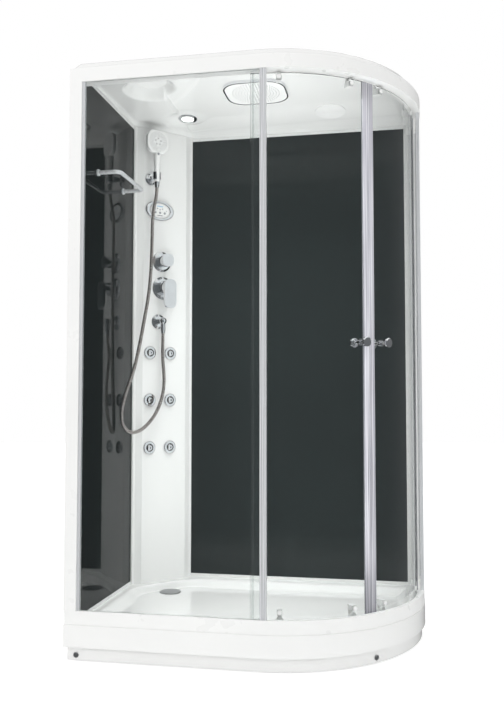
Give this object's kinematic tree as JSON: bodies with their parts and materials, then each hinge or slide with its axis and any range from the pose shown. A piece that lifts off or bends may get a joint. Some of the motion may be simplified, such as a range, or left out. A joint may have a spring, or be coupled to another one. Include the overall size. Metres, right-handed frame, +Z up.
{
  "type": "shower cabin",
  "caption": "Corner shower cabin with a tray, two black glass walls, a fitted column, a roof and two curved sliding doors.",
  "frame": {"origin": "centre of the 1200 by 800 mm footprint, on the floor", "axes": "+X right along the straight front, +Y back to the rear wall, +Z up; the front is at -Y"},
  "size_m": [1.2, 0.8, 2.125],
  "materials": {
    "white_acrylic": "gloss",
    "white_metal": "satin powder coat",
    "aluminium": "satin anodised",
    "clear_glass": "polished",
    "black_glass": "polished, coloured on the back",
    "chrome": "polished",
    "steel": "zinc plated",
    "dark_plastic": "matt",
    "grey_plastic": "satin",
    "white_plastic": "gloss",
    "brass": "plain",
    "clear_seal": "translucent",
    "lens": "frosted"
  },
  "bodies": {
    "cabin": {"tray": "white_acrylic", "levelling_feet": "steel", "plinth_screws": "steel", "plinth_panel": "white_acrylic", "tray_frame": "steel", "drain_trap": "dark_plastic", "bottom_rail": "white_metal", "top_rail": "white_metal", "corner_posts": "white_metal", "fixed_glass": "clear_glass", "glazing_profiles": "aluminium", "wall_frames": "white_metal", "wall_glass": "black_glass", "corner_column": "white_acrylic", "jet_rings": "chrome", "outlet_elbow": "chrome", "lower_hose_nut": "chrome", "cover_rosettes": "chrome", "control_bezel": "chrome", "control_panel": "white_plastic", "water_manifold": "brass", "shower_hose": "steel", "towel_bar": "chrome", "roof_shell": "white_acrylic", "rain_head_rim": "chrome", "rain_head_plate": "white_plastic", "lamp_bezel": "chrome", "lamp_lens": "lens", "speaker": "white_plastic", "fan_housing": "white_plastic"},
    "left_door": {"left_door_glass": "clear_glass", "left_door_seals": "clear_seal", "left_door_knobs": "chrome", "left_door_brackets": "white_plastic"},
    "left_door_wheel_near": {"left_door_wheel_near": "white_plastic"},
    "left_door_wheel_far": {"left_door_wheel_far": "white_plastic"},
    "right_door": {"right_door_glass": "clear_glass", "right_door_seals": "clear_seal", "right_door_knobs": "chrome", "right_door_brackets": "white_plastic"},
    "right_door_wheel_near": {"right_door_wheel_near": "white_plastic"},
    "right_door_wheel_far": {"right_door_wheel_far": "white_plastic"},
    "drain_cover": {"drain_cover": "chrome"},
    "fan_impeller": {"fan_impeller": "dark_plastic"},
    "hand_shower": {"holder_clamp": "chrome", "hand_shower": "white_plastic", "upper_hose_nut": "chrome"},
    "shower_button": {"shower_button": "grey_plastic"},
    "diverter_knob": {"diverter_knob": "chrome"},
    "mixer_hub": {"mixer_hub": "chrome"},
    "mixer_lever": {"mixer_lever": "chrome"},
    "panel_button_1": {"panel_button_1": "grey_plastic"},
    "panel_button_2": {"panel_button_2": "grey_plastic"},
    "panel_button_3": {"panel_button_3": "grey_plastic"},
    "jet_1": {"jet_1": "chrome"},
    "jet_2": {"jet_2": "chrome"},
    "jet_3": {"jet_3": "chrome"},
    "jet_4": {"jet_4": "chrome"},
    "jet_5": {"jet_5": "chrome"},
    "jet_6": {"jet_6": "chrome"}
  },
  "joints": [
    {"name": "left_door_slide", "type": "hinge", "parent": "cabin", "child": "left_door", "pos_m": [-0.00026, 0.26168, 1.065], "axis": [0, 0, 1], "range_deg": [-20.13, 0]},
    {"name": "left_door_wheel_near_spin", "type": "hinge", "parent": "left_door", "child": "left_door_wheel_near", "pos_m": [0.35479, -0.25891, 1.9863], "axis": [0.5976, -0.8018, 0], "continuous": true},
    {"name": "left_door_wheel_far_spin", "type": "hinge", "parent": "left_door", "child": "left_door_wheel_far", "pos_m": [0.12538, -0.3544, 1.9863], "axis": [0.1478, -0.989, 0], "continuous": true},
    {"name": "right_door_slide", "type": "hinge", "parent": "cabin", "child": "right_door", "pos_m": [-0.00064, 0.17688, 1.065], "axis": [0, 0, 1], "range_deg": [0, 19.33]},
    {"name": "right_door_wheel_near_spin", "type": "hinge", "parent": "right_door", "child": "right_door_wheel_near", "pos_m": [0.44802, -0.16887, 1.9863], "axis": [0.7804, -0.6252, 0], "continuous": true},
    {"name": "right_door_wheel_far_spin", "type": "hinge", "parent": "right_door", "child": "right_door_wheel_far", "pos_m": [0.55146, 0.05706, 1.9863], "axis": [0.9833, -0.1822, 0], "continuous": true},
    {"name": "drain_cover_lift", "type": "slide", "parent": "cabin", "child": "drain_cover", "axis": [0, 0, 1], "range_m": [0, 0.04]},
    {"name": "fan_spin", "type": "hinge", "parent": "cabin", "child": "fan_impeller", "pos_m": [-0.398, -0.135, 2.08], "axis": [0, 0, 1], "continuous": true},
    {"name": "hand_shower_tilt", "type": "hinge", "parent": "cabin", "child": "hand_shower", "pos_m": [-0.49215, 0.21014, 1.8], "axis": [0.7071, 0.7071, 0], "range_deg": [-8, 20], "deforming": ["shower_hose"]},
    {"name": "shower_button_press", "type": "slide", "parent": "hand_shower", "child": "shower_button", "axis": [-0.7071, 0.7071, 0], "range_m": [0, 0.0015], "stiffness_N_per_m": 120},
    {"name": "diverter_turn", "type": "hinge", "parent": "cabin", "child": "diverter_knob", "pos_m": [-0.4505, 0.24628, 1.455], "axis": [0.7071, -0.7071, 0], "range_deg": [-60, 60]},
    {"name": "mixer_turn", "type": "hinge", "parent": "cabin", "child": "mixer_hub", "pos_m": [-0.44696, 0.24981, 1.343], "axis": [0.7071, -0.7071, 0], "range_deg": [-45, 45]},
    {"name": "lever_tilt", "type": "hinge", "parent": "mixer_hub", "child": "mixer_lever", "pos_m": [-0.42554, 0.22839, 1.3638], "axis": [-0.7071, -0.7071, 0], "range_deg": [0, 20]},
    {"name": "panel_button_1_press", "type": "slide", "parent": "cabin", "child": "panel_button_1", "axis": [-0.7071, 0.7071, 0], "range_m": [0, 0.0015], "stiffness_N_per_m": 120},
    {"name": "panel_button_2_press", "type": "slide", "parent": "cabin", "child": "panel_button_2", "axis": [-0.7071, 0.7071, 0], "range_m": [0, 0.0015], "stiffness_N_per_m": 120},
    {"name": "panel_button_3_press", "type": "slide", "parent": "cabin", "child": "panel_button_3", "axis": [-0.7071, 0.7071, 0], "range_m": [0, 0.0015], "stiffness_N_per_m": 120},
    {"name": "jet_1_tilt", "type": "hinge", "parent": "cabin", "child": "jet_1", "pos_m": [-0.50968, 0.22909, 0.674], "axis": [0.7071, 0.7071, 0], "range_deg": [-12, 12]},
    {"name": "jet_2_tilt", "type": "hinge", "parent": "cabin", "child": "jet_2", "pos_m": [-0.44251, 0.29627, 0.674], "axis": [0.7071, 0.7071, 0], "range_deg": [-12, 12]},
    {"name": "jet_3_tilt", "type": "hinge", "parent": "cabin", "child": "jet_3", "pos_m": [-0.50968, 0.22909, 0.871], "axis": [0.7071, 0.7071, 0], "range_deg": [-12, 12]},
    {"name": "jet_4_tilt", "type": "hinge", "parent": "cabin", "child": "jet_4", "pos_m": [-0.44251, 0.29627, 0.871], "axis": [0.7071, 0.7071, 0], "range_deg": [-12, 12]},
    {"name": "jet_5_tilt", "type": "hinge", "parent": "cabin", "child": "jet_5", "pos_m": [-0.50968, 0.22909, 1.068], "axis": [0.7071, 0.7071, 0], "range_deg": [-12, 12]},
    {"name": "jet_6_tilt", "type": "hinge", "parent": "cabin", "child": "jet_6", "pos_m": [-0.44251, 0.29627, 1.068], "axis": [0.7071, 0.7071, 0], "range_deg": [-12, 12]}
  ],
  "couplings": [
    {"joint": "left_door_wheel_near_spin", "follows": "left_door_slide", "ratio": -57.234},
    {"joint": "left_door_wheel_far_spin", "follows": "left_door_slide", "ratio": -57.08},
    {"joint": "right_door_wheel_near_spin", "follows": "right_door_slide", "ratio": -51.484},
    {"joint": "right_door_wheel_far_spin", "follows": "right_door_slide", "ratio": -51.335}
  ]
}
